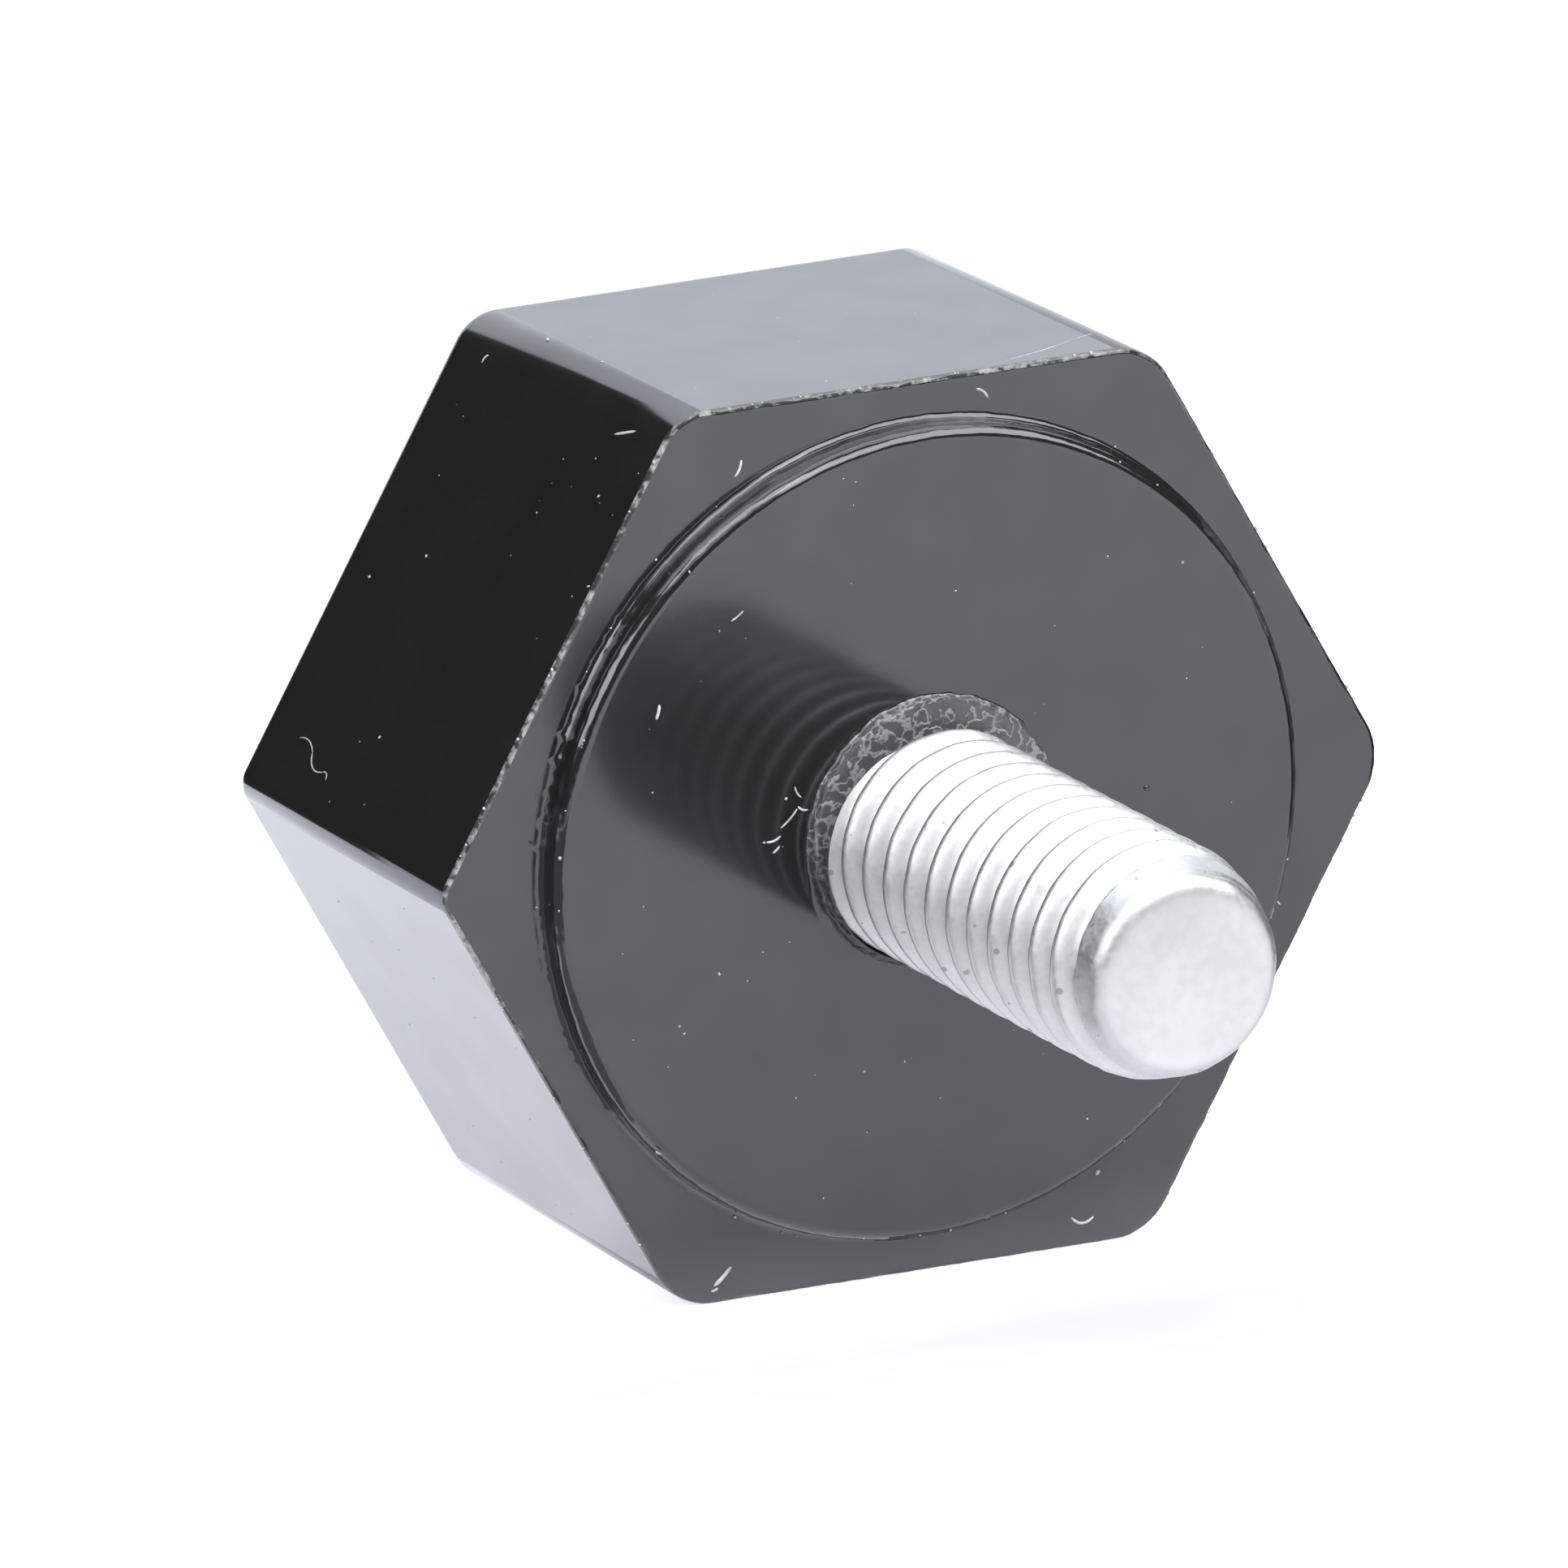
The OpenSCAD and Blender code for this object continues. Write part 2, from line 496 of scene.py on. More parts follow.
def flat_frame(angle):
    """A drafted flat by its angle: a point on it, its normal and the way round the head."""
    a = math.radians(angle)
    out = Vector((math.cos(a), 0, math.sin(a)))
    round_way = Vector((-math.sin(a), 0, math.cos(a)))
    normal = (out * math.cos(DRAFT) + Vector((0, math.sin(DRAFT), 0))).normalized()
    return out * HALF_AF + Vector((0, HEX_Y, 0)), normal, round_way


def on_flat(angle, along, depth):
    """A point on a flat, along it and back from the seat side, and the flat's normal."""
    start, normal, way = flat_frame(angle)
    return start + way * along + normal.cross(way).normalized() * -depth, normal


def fibre_mesh(bm, points, normal, radius):
    """A closed tube of five sides that follows the points, half sunk in the surface."""
    sides, thin_end, rings = 5, 0.45, []
    for i, p in enumerate(points):
        ahead = points[min(i + 1, len(points) - 1)] - points[max(i - 1, 0)]
        side = ahead.cross(normal).normalized()
        up = side.cross(ahead).normalized()
        thick = radius * (thin_end if i in (0, len(points) - 1) else 1)
        turn = [2 * math.pi * k / sides for k in range(sides)]
        rings.append(
            [bm.verts.new(p + (side * math.cos(t) + up * math.sin(t)) * thick) for t in turn]
        )
    for one, two in zip(rings, rings[1:]):
        for k in range(sides):
            m = (k + 1) % sides
            bm.faces.new((one[k], one[m], two[m], two[k]))
    bm.faces.new(rings[0][::-1])
    bm.faces.new(rings[-1])


def curl(start, end, bow, normal):
    """Points of a line from start to end, bowed to one side by a share of its length."""
    steps = 6
    span = end - start
    side = span.cross(normal)
    return [
        start + span * (i / steps) + side * bow * 4 * (i / steps) * (1 - i / steps)
        for i in range(steps + 1)
    ]


def lay_fibres(bm):
    """The fibres on the seat side and on the flats."""
    for x0, z0, x1, z1, bow, radius in SEAT_FIBRES:
        points = curl(on_seat(x0, z0), on_seat(x1, z1), bow, SEAT_WAY)
        fibre_mesh(bm, points, SEAT_WAY, radius * MM)
    for angle, along0, depth0, along1, depth1, bow, radius in FLAT_FIBRES:
        start, normal = on_flat(angle, along0 * MM, depth0 * MM)
        end, normal = on_flat(angle, along1 * MM, depth1 * MM)
        fibre_mesh(bm, curl(start, end, bow, normal), normal, radius * MM)


def placed_crumbs():
    """The nub and the crumbs listed above, each with its place, its normal and its size."""
    crumbs = [(on_seat(NUB_X, NUB_Z), SEAT_WAY, NUB_R * MM)]
    for x, z, size in SEAT_CRUMBS:
        crumbs.append((on_seat(x, z), SEAT_WAY, SEAT_CRUMB_SHARE * size * MM))
    for angle, along, depth, size in FLAT_CRUMBS:
        crumbs.append((*on_flat(angle, along * MM, depth * MM), size * MM))
    return crumbs


def fine_dust(draw):
    """Dust on the washer face, on the flats and their edges, and round the rim and its foot."""
    seat_grains, flat_grains, edge_grains, rim_grains = 44, 14, 9, 26
    # On the seat side, in mm: nothing by the collar or on the rim, nor past the reach
    past_collar, before_rim, past_rim, reach = COLLAR_R / MM + 0.3, 6.4, 6.88, 6.9
    dust = []
    for _ in range(seat_grains):
        r, t = reach * math.sqrt(draw.random()), draw.uniform(0, 2 * math.pi)
        if past_collar < r < before_rim or r > past_rim:
            dust.append((on_seat(r * math.cos(t), r * math.sin(t)), SEAT_WAY, 0.01 * MM))
    for angle in DUSTY_FLATS:
        for _ in range(flat_grains):
            along, depth = draw.uniform(-3.6, 3.6) * MM, draw.uniform(0.3, 7) * MM
            dust.append((*on_flat(angle, along, depth), 0.011 * MM))
        for _ in range(edge_grains):
            place, normal = on_flat(angle, draw.uniform(-3.7, 3.7) * MM, 0.03 * MM)
            dust.append((place, (normal + SEAT_WAY).normalized(), 0.022 * MM))
    for _ in range(rim_grains):
        t = draw.uniform(0, 2 * math.pi)
        r = WASHER_R + draw.choice((-0.06, 0.12)) * MM
        y = WASHER_Y + 0.05 * MM if r < WASHER_R else HEX_Y - 0.02 * MM
        dust.append((Vector((r * math.cos(t), y, r * math.sin(t))), SEAT_WAY, 0.016 * MM))
    return dust


def lay_crumbs(bm, crumbs, draw):
    """Uneven grains, each stretched one way, pressed to its surface and turned at random."""
    for place, normal, size in crumbs:
        size *= draw.uniform(0.6, 1.5)
        tilt = normal.to_track_quat("Z", "Y").to_matrix().to_4x4()
        spin = Matrix.Rotation(draw.uniform(0, 6.28), 4, "Z")
        shape = Matrix.Diagonal((size * draw.uniform(0.8, 1.7), size, size * 0.7, 1))
        bmesh.ops.create_icosphere(
            bm, subdivisions=1, radius=1, matrix=Matrix.Translation(place) @ tilt @ spin @ shape
        )


def build_lint():
    """The fibres, crumbs, dust and nub that lie on the head."""
    draw = random.Random(SEED)
    bm = bmesh.new()
    lay_fibres(bm)
    lay_crumbs(bm, placed_crumbs() + fine_dust(draw), draw)
    bmesh.ops.recalc_face_normals(bm, faces=bm.faces)
    mesh = bpy.data.meshes.new("lint")
    bm.to_mesh(mesh)
    for face in mesh.polygons:
        face.use_smooth = True
    return new_object("lint_and_dust", mesh)


# ---------------------------------------------------------------- shader nodes

def feed(tree, node, inputs):
    """Links each input of a node to a socket, or sets it to a plain value."""
    for name, value in inputs.items():
        if isinstance(value, bpy.types.NodeSocket):
            tree.links.new(value, node.inputs[name])
        else:
            node.inputs[name].default_value = value


def add(tree, kind, inputs=None, **props):
    """Adds a shader node with its properties, and feeds its inputs."""
    made = tree.nodes.new("ShaderNode" + kind)
    for name, value in props.items():
        setattr(made, name, value)
    feed(tree, made, inputs or {})
    return made


def maths(tree, operation, *values, clamp=False):
    """One sum, on sockets or plain numbers."""
    made = add(tree, "Math", dict(enumerate(values)), operation=operation, use_clamp=clamp)
    return made.outputs[0]


def ramp(tree, socket, low, high, to_low, to_high):
    """Spreads the part of a value between low and high over a new range."""
    limits = {"From Min": low, "From Max": high, "To Min": to_low, "To Max": to_high}
    return add(tree, "MapRange", {"Value": socket, **limits}).outputs["Result"]


def mix_colour(tree, factor, one, two):
    """Goes from one colour to another by a factor; each is a socket or red, green and blue."""
    ends = [c if isinstance(c, bpy.types.NodeSocket) else (*c, 1) for c in (one, two)]
    made = add(tree, "Mix", {"Factor": factor, 6: ends[0], 7: ends[1]}, data_type="RGBA")
    return made.outputs[2]


def axes(tree, vector):
    """The X, Y and Z of a vector."""
    return add(tree, "SeparateXYZ", {"Vector": vector}).outputs


def bump(tree, height, distance):
    """A normal from a height, which stands out by the distance where it is 1."""
    inputs = {"Strength": 1.0, "Distance": distance, "Height": height}
    return add(tree, "Bump", inputs).outputs[0]


def new_group(name, inputs, outputs):
    """An empty node group of value sockets, after a Vector; inputs come with defaults."""
    tree = bpy.data.node_groups.new(name, "ShaderNodeTree")
    tree.interface.new_socket("Vector", in_out="INPUT", socket_type="NodeSocketVector")
    for label, value in inputs.items():
        socket = tree.interface.new_socket(
            label, in_out="INPUT", socket_type="NodeSocketFloat"
        )
        socket.default_value = value
    for label in outputs:
        tree.interface.new_socket(label, in_out="OUTPUT", socket_type="NodeSocketFloat")
    came, out = tree.nodes.new("NodeGroupInput"), tree.nodes.new("NodeGroupOutput")
    return tree, came.outputs, out


def use_group(tree, group, place, values):
    """Places a group in a material with its own values, and returns its outputs."""
    return add(tree, "Group", {"Vector": place, **values}, node_tree=group).outputs


def speck_group():
    """Small round specks: a mask of dots, one to some of the cells of a given spacing."""
    tree, came, out = new_group(
        "specks", {"Cells Per Metre": 2500.0, "Dot Size": 0.06, "Share": 0.2}, ["Mask"]
    )
    cells = add(
        tree,
        "TexVoronoi",
        {"Vector": came["Vector"], "Scale": came["Cells Per Metre"]},
        feature="F1",
    )
    lot = add(tree, "SeparateColor", {"Color": cells.outputs["Color"]}).outputs
    size = maths(tree, "MULTIPLY", came["Dot Size"], lot["Green"])
    near = maths(tree, "LESS_THAN", cells.outputs["Distance"], size)
    drawn = maths(tree, "LESS_THAN", lot["Red"], came["Share"])
    feed(tree, out, {"Mask": maths(tree, "MULTIPLY", near, drawn)})
    return tree


def ripple_group():
    """Two sizes of noise, mixed into a height."""
    tree, came, out = new_group(
        "ripple",
        {"Broad Scale": 400.0, "Fine Scale": 4000.0, "Fine Share": 0.3},
        ["Height", "Broad", "Fine"],
    )
    broad, fine = (
        add(
            tree,
            "TexNoise",
            {"Detail": detail, "Vector": came["Vector"], "Scale": came[scale]},
        ).outputs["Fac"]
        for scale, detail in (("Broad Scale", 2.0), ("Fine Scale", 3.0))
    )
    both = add(tree, "Mix", {"Factor": came["Fine Share"], "A": broad, "B": fine})
    feed(tree, out, {"Height": both.outputs["Result"], "Broad": broad, "Fine": fine})
    return tree


# ---------------------------------------------------------------- materials

def new_material(name):
    """A material with a bare Principled shader, and Object coordinates to place patterns by."""
    material = bpy.data.materials.new(name)
    material.use_nodes = True
    tree = material.node_tree
    tree.nodes.clear()
    shader = add(tree, "BsdfPrincipled")
    add(tree, "OutputMaterial", {"Surface": shader.outputs[0]})
    coords = add(tree, "TexCoord")
    place = add(tree, "Mapping", {"Vector": coords.outputs["Object"]})
    return material, tree, shader, place.outputs["Vector"]


def plastic_material(specks, ripple):
    """Black moulded plastic under a clear skin, with dust specks and a faint ripple."""
    material, tree, shader, place = new_material("moulded_plastic")
    gloss = 0.12
    waves = use_group(
        tree, ripple, place, {"Broad Scale": 700.0, "Fine Scale": 9000.0, "Fine Share": 0.1}
    )
    dust = use_group(
        tree, specks, place, {"Cells Per Metre": 2400.0, "Dot Size": 0.07, "Share": 0.14}
    )["Mask"]
    tone = ramp(tree, waves["Broad"], 0.3, 0.7, 0.0, 1.0)
    black = mix_colour(tree, tone, (0.014, 0.014, 0.0135), (0.019, 0.019, 0.0185))
    rough = ramp(tree, waves["Fine"], 0.3, 0.7, gloss * 0.9, gloss * 1.12)
    dusty = ramp(tree, dust, 0.0, 1.0, 0.0, 0.5)
    clean = ramp(tree, dust, 0.0, 1.0, 1.0, 0.2)
    smear = ramp(tree, waves["Broad"], 0.35, 0.65, 0.9, 1.0)
    feed(tree, shader, {
        "Base Color": mix_colour(tree, dust, black, (0.3, 0.3, 0.31)),
        "Roughness": maths(tree, "ADD", rough, dusty),
        "Coat Weight": maths(tree, "MULTIPLY", clean, smear),
        "IOR": 1.5,
        "Specular IOR Level": 1.0,
        "Specular Tint": (0.91, 0.93, 1, 1),
        "Coat Roughness": gloss,
        "Coat IOR": 1.5,
        "Normal": bump(tree, waves["Height"], 0.0004 * MM),
    })
    return material


def torn_material(ripple):
    """The collar's torn skin: pale squiggling ridges over the black plastic, with painted shade
    darkening it below.
    """
    material, tree, shader, place = new_material("torn_plastic")
    waves = use_group(
        tree, ripple, place, {"Broad Scale": 3900.0, "Fine Scale": 14000.0, "Fine Share": 0.05}
    )
    # Ridges run where the noise crosses its middle
    off = maths(tree, "ABSOLUTE", maths(tree, "SUBTRACT", waves["Height"], 0.5))
    # Painted shade: the skin and its ridges darken towards the bottom
    painted_top_light = ramp(tree, axes(tree, place)["Z"], -0.6 * MM, 0.8 * MM, 0.15, 1.0)
    ridge = maths(tree, "MULTIPLY", ramp(tree, off, 0.01, 0.06, 1.0, 0.0), painted_top_light)
    base = mix_colour(tree, painted_top_light, (0.025, 0.025, 0.026), (0.09, 0.09, 0.091))
    feed(tree, shader, {
        "Base Color": mix_colour(tree, ridge, base, (0.3, 0.3, 0.305)),
        "Roughness": ramp(tree, waves["Fine"], 0.3, 0.7, 0.22, 0.4),
        "Specular IOR Level": 1.0,
        "Normal": bump(tree, ridge, 0.01 * MM),
    })
    return material


def scuffed_material(ripple):
    """The moulded edge: black, with a pale broken line of flash along the upper left sides."""
    material, tree, shader, place = new_material("scuffed_edge")
    waves = use_group(
        tree, ripple, place, {"Broad Scale": 2600.0, "Fine Scale": 9000.0, "Fine Share": 0.5}
    )
    at = axes(tree, place)
    up_and_left = maths(tree, "ADD", maths(tree, "MULTIPLY", at["X"], -0.9), at["Z"])
    side = ramp(tree, up_and_left, 1.5 * MM, 7 * MM, 0.12, 1.0)
    flash = ramp(tree, waves["Height"], 0.47, 0.62, 0.1, 1.0)
    flash = maths(tree, "MULTIPLY", flash, side)
    feed(tree, shader, {
        "Base Color": mix_colour(tree, flash, (0.014, 0.014, 0.0145), (0.42, 0.42, 0.42)),
        "Roughness": ramp(tree, flash, 0.0, 1.0, 0.1, 0.5),
        "Specular IOR Level": 1.0,
        "Coat Weight": 0.5,
    })
    return material


def foot_shade_material(ripple):
    """Dull dark colour painted as shade in the foot of the washer face."""
    material, tree, shader, place = new_material("painted_foot_shade")
    waves = use_group(tree, ripple, place, {"Broad Scale": 2500.0, "Fine Scale": 12000.0})
    tone = ramp(tree, waves["Height"], 0.4, 0.6, 0.0, 1.0)
    feed(tree, shader, {
        "Base Color": mix_colour(tree, tone, (0.018, 0.018, 0.018), (0.05, 0.05, 0.05)),
        "Roughness": ramp(tree, tone, 0.0, 1.0, 0.3, 0.6),
        "Specular IOR Level": 0.25,
    })
    return material


def thread_colour(tree, place, grain, specks):
    """Bright on the worn crests with a painted highlight, duller in the roots as painted shade,
    with painted shade on the flanks behind the crests, and pitted.
    """
    centred = add(tree, "VectorMath", {0: place, 1: -OFF_CENTRE}, operation="ADD")
    across = add(
        tree, "VectorMath", {0: centred.outputs[0], 1: (1, 0, 1)}, operation="MULTIPLY"
    )
    radius = add(tree, "VectorMath", {0: across.outputs[0]}, operation="LENGTH")
    # Wear with a painted highlight on the crests, and painted shade in the roots: brighter
    # outwards
    height = ramp(tree, radius.outputs["Value"], ROOT_R, STUD_R - 0.02 * MM, 0.0, 0.75)
    uneven = ramp(tree, grain["Height"], 0.3, 0.7, -0.35, 0.45)
    wear_and_highlight = maths(tree, "ADD", height, uneven, clamp=True)
    skin = mix_colour(tree, wear_and_highlight, (0.76, 0.76, 0.765), (0.96, 0.96, 0.96))
    # Painted shade on the flanks that face the head, chosen by their normal
    facing = axes(tree, add(tree, "TexCoord").outputs["Normal"])
    head_side_shade = ramp(tree, facing["Y"], 0.08, 0.3, 0.0, 1.0)
    skin = mix_colour(tree, head_side_shade, skin, (0.17, 0.17, 0.172))
    pits = use_group(
        tree, specks, place, {"Cells Per Metre": 5200.0, "Dot Size": 0.3, "Share": 0.16}
    )["Mask"]
    return mix_colour(tree, pits, skin, (0.55, 0.55, 0.56))


def cut_end_colour(tree, place, ripple):
    """The cut end: mottled, with painted light making it a little brighter towards its lower
    right.
    """
    mottle = use_group(
        tree, ripple, place, {"Broad Scale": 620.0, "Fine Scale": 5200.0, "Fine Share": 0.3}
    )
    at = axes(tree, place)
    # Painted light: the end brightens towards its lower right
    up_and_left = maths(tree, "SUBTRACT", at["Z"], at["X"])
    shade = ramp(tree, up_and_left, -0.6 * MM, 2 * MM, 0.55, 0.0)
    tone = ramp(tree, mottle["Height"], 0.4, 0.6, 0.0, 0.5)
    tone = maths(tree, "ADD", tone, shade)
    return mix_colour(tree, tone, (0.76, 0.76, 0.755), (0.97, 0.965, 0.955))


def stud_material(specks, ripple):
    """Bright rolled steel, worn and with a painted highlight on the crests, painted shade
    behind them, and a mottled cut end with painted light to its lower right.
    """
    material, tree, shader, place = new_material("rolled_stud_metal")
    grain = use_group(
        tree, ripple, place, {"Broad Scale": 1700.0, "Fine Scale": 12000.0, "Fine Share": 0.45}
    )
    y = axes(tree, place)["Y"]
    at_end = ramp(tree, y, TIP_Y + 0.06 * MM, TIP_Y + 0.01 * MM, 0.0, 1.0)
    skin = thread_colour(tree, place, grain, specks)
    cut_end = cut_end_colour(tree, place, ripple)
    # The turned taper before the end is smoother than the thread
    turned = ramp(tree, y, TIP_Y + TIP_TAPER, TIP_Y + 0.8 * TIP_TAPER, 0.0, -0.05)
    matt = ramp(tree, grain["Fine"], 0.3, 0.7, 0.44, 0.56)
    feed(tree, shader, {
        "Base Color": mix_colour(tree, at_end, skin, cut_end),
        "Metallic": 1.0,
        "Roughness": maths(tree, "ADD", matt, turned),
        "Normal": bump(tree, grain["Height"], 0.006 * MM),
    })
    return material


def lint_material(ripple):
    """Off-white dust and fibre, duller in places."""
    material, tree, shader, place = new_material("dry_dust")
    mottle = use_group(tree, ripple, place, {"Broad Scale": 3000.0, "Fine Scale": 20000.0})
    tone = ramp(tree, mottle["Height"], 0.35, 0.65, 0.0, 1.0)
    feed(tree, shader, {
        "Base Color": mix_colour(tree, tone, (0.42, 0.43, 0.44), (0.78, 0.79, 0.78)),
        "Roughness": ramp(tree, mottle["Fine"], 0.3, 0.7, 0.6, 0.85),
    })
    return material


def sees_background(tree):
    """1 for the rays of the camera, gloss and glass, and 0 for those that light things."""
    rays = add(tree, "LightPath").outputs
    seen = maths(tree, "MAXIMUM", rays["Is Camera Ray"], rays["Is Glossy Ray"])
    return maths(tree, "MAXIMUM", seen, rays["Is Transmission Ray"])


def pale_floor_material():
    """Pale paper that the camera, gloss and glass see near white, and that holds shadows."""
    material, tree, shader, place = new_material("pale_floor")
    # Painted light: the paper glows more behind the part, standing in for the light from behind
    # falling on it
    back = ramp(tree, axes(tree, place)["Y"], -3 * MM, 4 * MM, 0.0, 0.74)
    rays = add(tree, "LightPath").outputs
    plain = ramp(tree, rays["Is Camera Ray"], 0.0, 1.0, 0.18, 0.4)
    glow = maths(tree, "ADD", back, plain)
    feed(tree, shader, {
        "Base Color": (0.61, 0.625, 0.645, 1),
        "Roughness": 0.9,
        "Specular IOR Level": 0.0,
        "Emission Color": (0.9, 0.92, 1.0, 1),
        "Emission Strength": maths(tree, "MULTIPLY", sees_background(tree), glow),
    })
    return material


def card_material(name, tone):
    """Matt card of one plain tone."""
    material, tree, shader, _ = new_material(name)
    feed(tree, shader, {
        "Base Color": (tone, tone, tone, 1),
        "Roughness": 0.9,
        "Specular IOR Level": 0.0,
    })
    return material


# ---------------------------------------------------------------- dressing the pieces

def paint_head(head, plastic, ripple):
    """Glossy all over but for the torn collar, the scuffed edge and the painted shade in the
    washer face's foot.
    """
    finishes = (torn_material(ripple), scuffed_material(ripple), foot_shade_material(ripple))
    for material in (plastic, *finishes):
        head.data.materials.append(material)
    # Painted shade on the rim and foot of the washer face, on its right and lower side
    shade_from, shade_to, shade_fade = -96, 40, 25
    for face in head.data.polygons:
        middle = face.center
        radius, angle = polar(middle)
        if middle.y < WASHER_Y - 0.004 * MM and radius < COLLAR_R + 0.2 * MM:
            face.material_index = TORN
        elif HEX_Y + SLACK < middle.y < HEX_Y + EDGE_ROUND and face.normal.y > -0.98:
            face.material_index = SCUFFED
        elif WASHER_R - 0.1 * MM < radius < LAND_R and middle.y < HEX_Y - SLACK:
            reach = shade_to + shade_fade * noise.noise(middle * 1200)
            if shade_from < math.degrees(angle) < reach:
                face.material_index = SHADED_FOOT


def paint_lint(lint, plastic, ripple):
    """Dust all over but for the nub, which is the head's own plastic."""
    lint.data.materials.append(lint_material(ripple))
    lint.data.materials.append(plastic)
    nub = on_seat(NUB_X, NUB_Z)
    for face in lint.data.polygons:
        face.material_index = int((face.center - nub).length < 0.2 * MM)


# ---------------------------------------------------------------- stage

def floor():
    """The pale sheet that the head rests on."""
    bpy.ops.mesh.primitive_plane_add(size=3.0, location=(0, 0, head_lo.z))
    sheet = bpy.context.object
    sheet.name = "floor"
    sheet.data.materials.append(pale_floor_material())


def card_in_gloss(card, tone):
    """Makes a sheet a card that only gloss sees, black or grey."""
    card.data.materials.append(card_material(card.name, tone))
    card.visible_camera = False
    card.visible_diffuse = False
    card.visible_shadow = False


def curved_card(name, azimuth, spread, radius, top, tone=0.02):
    """A card round the part, from the floor up. Azimuth 0 is -Y and 90 is +X."""
    steps, verts = 24, []
    for i in range(steps + 1):
        a = math.radians(azimuth - spread / 2 + spread * i / steps)
        x, y = radius * math.sin(a), -radius * math.cos(a)
        verts += [(x, y, head_lo.z), (x, y, top)]
    faces = [(2 * i, 2 * i + 2, 2 * i + 3, 2 * i + 1) for i in range(steps)]
    mesh = bpy.data.meshes.new(name)
    mesh.from_pydata(verts, [], faces)
    card_in_gloss(new_object(name, mesh), tone)


def level_card(name, x, y, z, tone=0.02):
    """A level card at Z, over the ranges given in X and Y."""
    bpy.ops.mesh.primitive_plane_add(size=1, location=(0, 0, z))
    card = bpy.context.object
    card.name = name
    corners = ((x[0], y[0]), (x[1], y[0]), (x[0], y[1]), (x[1], y[1]))
    for v, (corner_x, corner_y) in zip(card.data.vertices, corners):
        v.co.x, v.co.y = corner_x, corner_y
    card_in_gloss(card, tone)


def towards(azimuth, elevation):
    """The way from the part to something at this azimuth and elevation, in degrees."""
    a, e = math.radians(azimuth), math.radians(elevation)
    return Vector((math.sin(a) * math.cos(e), -math.cos(a) * math.cos(e), math.sin(e)))


def softbox(name, azimuth, elevation, distance, width, height, level):
    """A rectangular lamp aimed at the part; level is how bright its face looks."""
    way = towards(azimuth, elevation)
    data = bpy.data.lights.new(name, "AREA")
    data.shape = "RECTANGLE"
    data.size, data.size_y = width, height
    data.energy = math.pi * width * height * level
    lamp = new_object(name, data)
    lamp.location = way * distance
    lamp.rotation_mode = "QUATERNION"
    lamp.rotation_quaternion = (-way).to_track_quat("-Z", "Y")


def world():
    """A plain studio, brighter to the camera and to gloss than the light it gives."""
    light, glow, camera_glow, roof_glow = 0.35, 0.7, 0.1, 0.6
    sky = bpy.data.worlds.new("studio")
    sky.use_nodes = True
    tree = sky.node_tree
    tree.nodes.clear()
    rays = add(tree, "LightPath").outputs
    level = ramp(tree, sees_background(tree), 0.0, 1.0, light, light + glow)
    to_camera = ramp(tree, rays["Is Camera Ray"], 0.0, 1.0, 0.0, camera_glow)
    level = maths(tree, "ADD", level, to_camera)
    # Gloss sees the diffusing roof of the tent brighter overhead
    height = axes(tree, add(tree, "TexCoord").outputs["Generated"])["Z"]
    roof = ramp(tree, height, 0.55, 0.8, 0.0, roof_glow)
    roof = maths(tree, "MULTIPLY", roof, rays["Is Glossy Ray"])
    level = maths(tree, "ADD", level, roof)
    back = add(tree, "Background", {"Color": (0.89, 0.94, 1, 1), "Strength": level})
    add(tree, "OutputWorld", {"Surface": back.outputs[0]})
    bpy.context.scene.world = sky


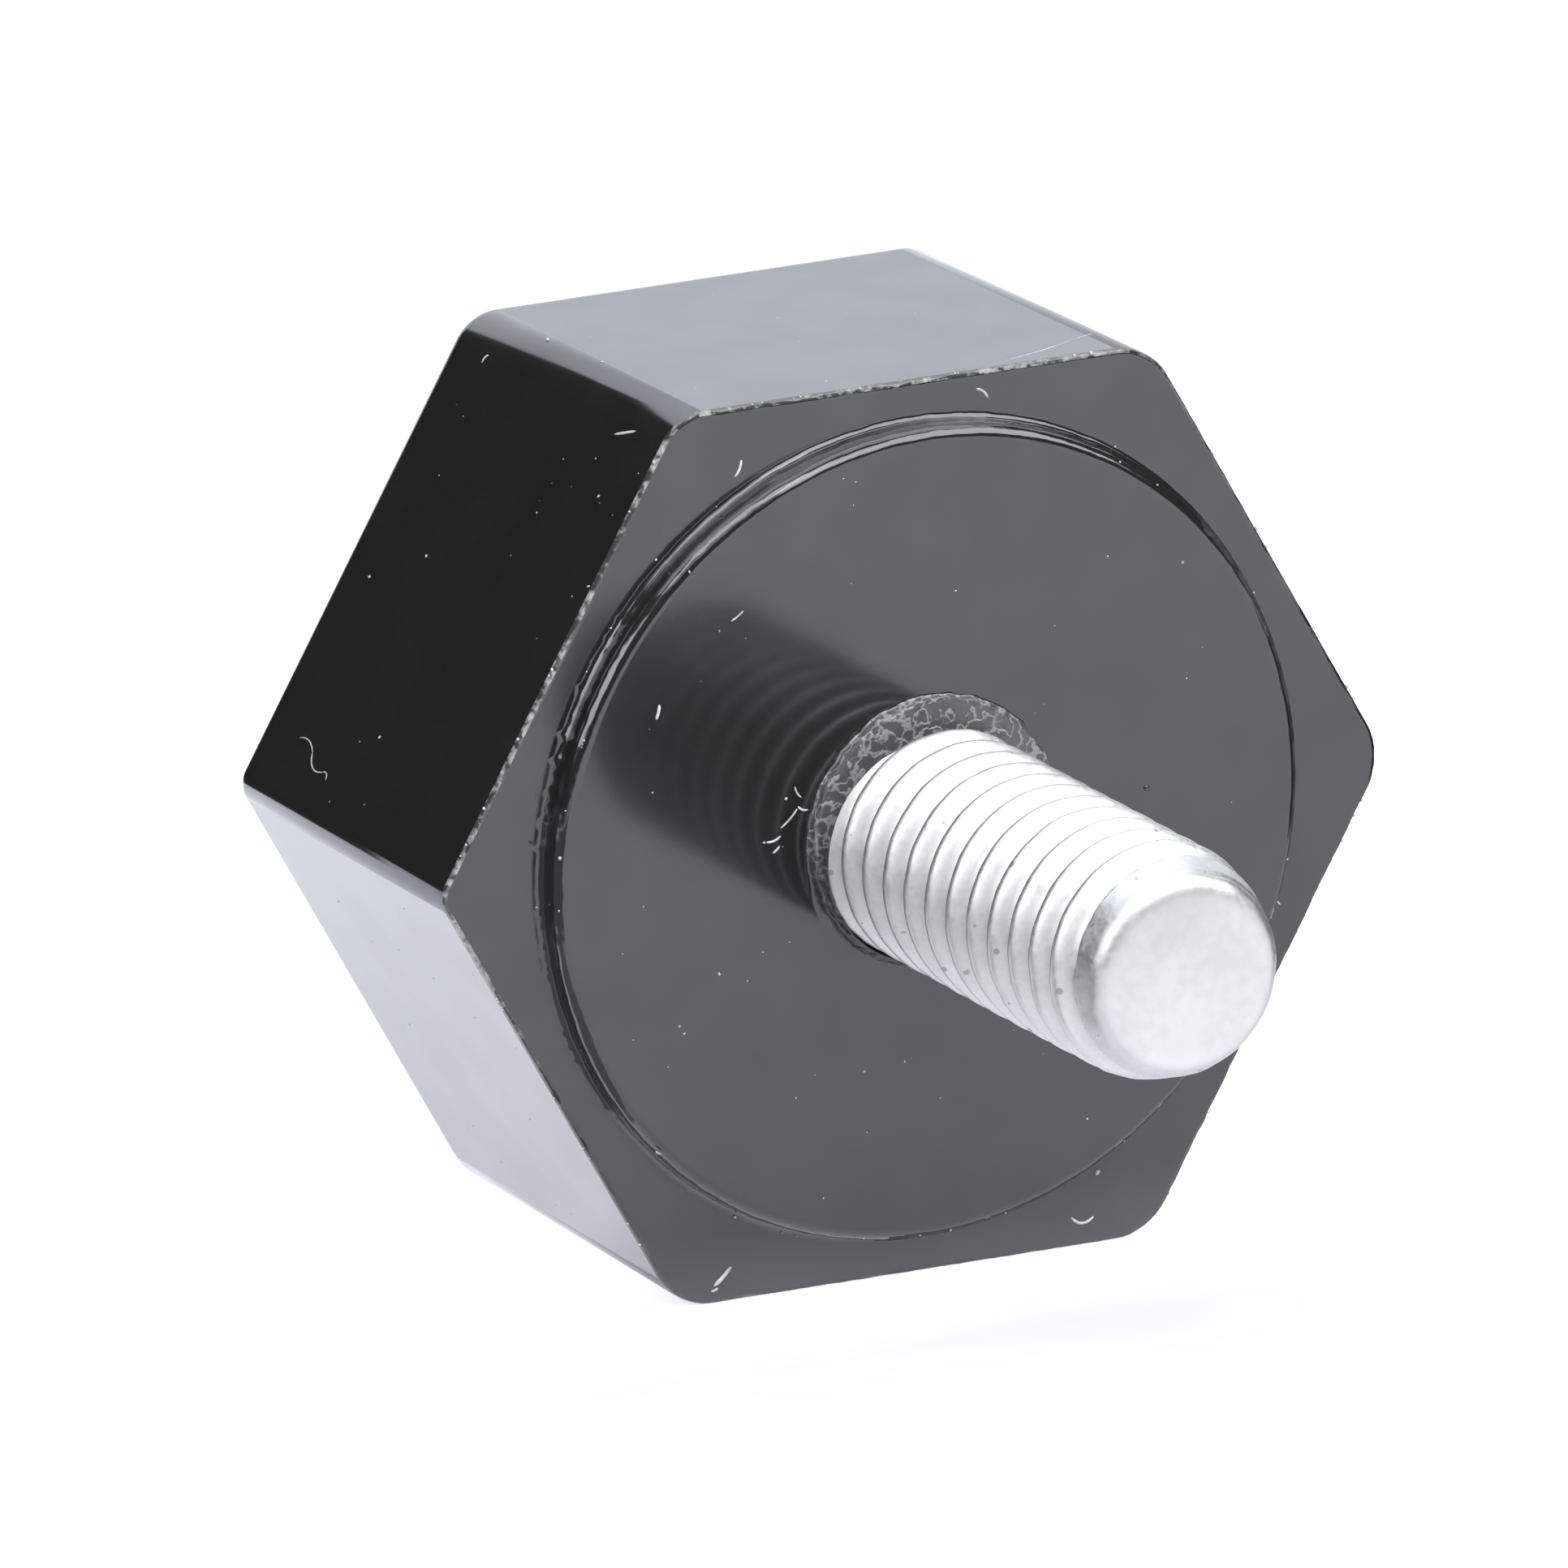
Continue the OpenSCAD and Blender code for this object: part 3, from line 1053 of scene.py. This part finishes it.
def camera():
    """A long lens, low and to the left of the stud."""
    distance, lens, sensor = 1000 * MM, 1427, 36
    right_of_middle, below_middle = 2.53 * MM, 0.92 * MM
    back = towards(azimuth=-28.3, elevation=16.7)
    turn = (-back).to_track_quat("-Z", "Y")
    right, up = turn @ Vector((1, 0, 0)), turn @ Vector((0, 1, 0))
    middle = (cad_box[0] + cad_box[1]) / 2
    aim = middle - right * right_of_middle + up * below_middle
    data = bpy.data.cameras.new("camera")
    data.sensor_width, data.lens = sensor, lens
    data.clip_start, data.clip_end = 0.01, 10
    cam = new_object("camera", data)
    cam.location = aim + back * distance
    cam.rotation_mode = "QUATERNION"
    cam.rotation_quaternion = turn
    bpy.context.scene.camera = cam


def cards():
    """Dark and grey cards that the gloss sees."""
    on_floor = head_lo.z + 0.02 * MM
    # A dark wall round the set, open behind and to the right
    curved_card("tent_wall", azimuth=-25, spread=290, radius=262 * MM, top=300 * MM)
    # Behind on the left, mirrored in the upper left flat
    curved_card("side_card", azimuth=-150, spread=34, radius=42 * MM, top=40 * MM)
    # Low and close, on the right and on the left; and a grey card on the floor to the left, a
    # painted shadow of the part that only gloss sees
    curved_card("right_card", azimuth=96, spread=68, radius=24 * MM, top=1 * MM)
    curved_card("left_card", azimuth=-78, spread=74, radius=20 * MM, top=-0.2 * MM, tone=0.3)
    level_card("painted_shadow_card", (-22 * MM, -6.8 * MM), (-9 * MM, 0.4 * MM), on_floor, tone=0.3)
    # A dark ceiling over the front
    level_card("front_ceiling", (-270 * MM, 270 * MM), (-270 * MM, -60 * MM), 290 * MM)


def lights():
    """Soft lamps from the upper right, from above, from the left and from the front."""
    softbox("key_light", 38, 40, 230 * MM, width=230 * MM, height=160 * MM, level=3.3)
    softbox("top_light", -24, 57, 230 * MM, width=170 * MM, height=100 * MM, level=3.3)
    softbox("left_light", -66, 26, 200 * MM, width=160 * MM, height=80 * MM, level=3.1)
    softbox("front_light", -5, 32, 300 * MM, width=380 * MM, height=140 * MM, level=1.1)


# ---------------------------------------------------------------- the scene

deselect_all()
specks, ripple = speck_group(), ripple_group()
plastic = plastic_material(specks, ripple)

head = build_head()
paint_head(head, plastic, ripple)
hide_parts("hex_head")
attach(head, "root")

stud = build_stud()
stud.data.materials.append(stud_material(specks, ripple))
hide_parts("threaded_stud")
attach(stud, "root")

lint = build_lint()
paint_lint(lint, plastic, ripple)
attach(lint, "root")

floor()
cards()
lights()
world()
camera()
bpy.context.scene.view_settings.view_transform = "Standard"
